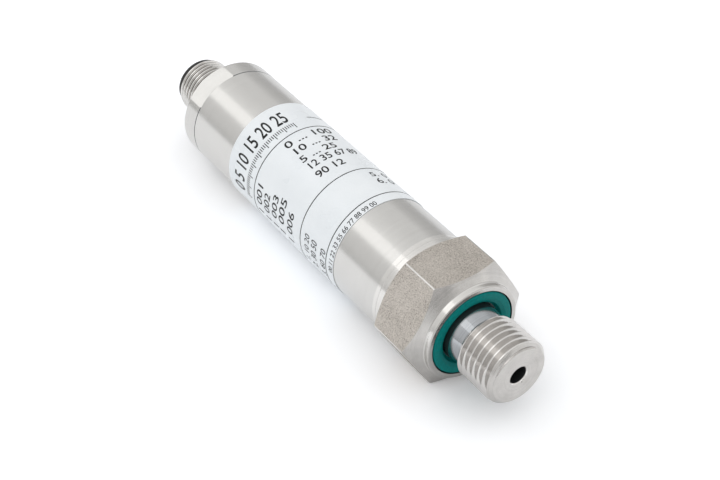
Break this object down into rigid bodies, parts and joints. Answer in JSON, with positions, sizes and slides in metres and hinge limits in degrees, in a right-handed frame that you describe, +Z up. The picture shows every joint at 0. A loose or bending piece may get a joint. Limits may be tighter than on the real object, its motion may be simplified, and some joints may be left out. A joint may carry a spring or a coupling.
{
  "type": "pressure transmitter",
  "caption": "Slim stainless pressure transmitter with a threaded, face-sealed pressure port, a hexagon, a tube housing and a round threaded plug with contacts.",
  "frame": {"origin": "centre of the sealing face, on the axis of the port", "axes": "+X along the axis out of the pressure port, +Z up and square to a flat of the hexagon, with the part lying on the opposite flat"},
  "size_m": [0.1084, 0.0266, 0.023],
  "materials": {
    "steel_port": "turned, blasted on the flats",
    "steel_head": "fine turned",
    "steel_tube": "satin drawn",
    "steel_capsule": "fine turned",
    "seal_rubber": "matt",
    "black_rubber": "matt",
    "cell_glass": "clear",
    "bead_glass": "glossy",
    "silicon": "polished",
    "gold_plate": "plated",
    "board_green": "lacquered",
    "chip_black": "moulded",
    "ribbon_film": "film",
    "carrier_plastic": "moulded",
    "sleeve_film": "film",
    "tantalum_case": "moulded",
    "capacitor_ceramic": "fired",
    "ferrite": "fired",
    "insert_plastic": "moulded",
    "label_film": "printed film"
  },
  "bodies": {
    "root": {"pressure_port": "steel_port", "port_seal_ring": "seal_rubber", "sensor_body": "steel_capsule", "weld_ring": "steel_capsule", "isolating_diaphragm": "steel_capsule", "cell_pedestal": "cell_glass", "silicon_chip": "silicon", "feedthrough_glass": "bead_glass", "header_pins": "gold_plate", "fill_ball": "steel_capsule", "capsule_oring": "black_rubber", "retaining_ring": "steel_capsule", "signal_board": "board_green", "trim_resistors": "chip_black", "front_ribbon": "ribbon_film", "board_carrier": "carrier_plastic", "insulating_sleeve": "sleeve_film", "main_board": "board_green", "processor": "chip_black", "amplifier": "chip_black", "output_driver": "chip_black", "voltage_regulator": "chip_black", "tantalum_capacitors": "tantalum_case", "ceramic_capacitors": "capacitor_ceramic", "filter_choke": "ferrite", "suppressor_diodes": "chip_black", "rear_ribbon": "ribbon_film", "contact_board": "board_green", "contact_pins": "gold_plate", "contact_carrier": "insert_plastic", "carrier_oring": "black_rubber", "carrier_ring": "steel_capsule", "connector_head": "steel_head", "head_oring": "black_rubber", "housing_tube": "steel_tube", "label": "label_film"}
  },
  "joints": []
}
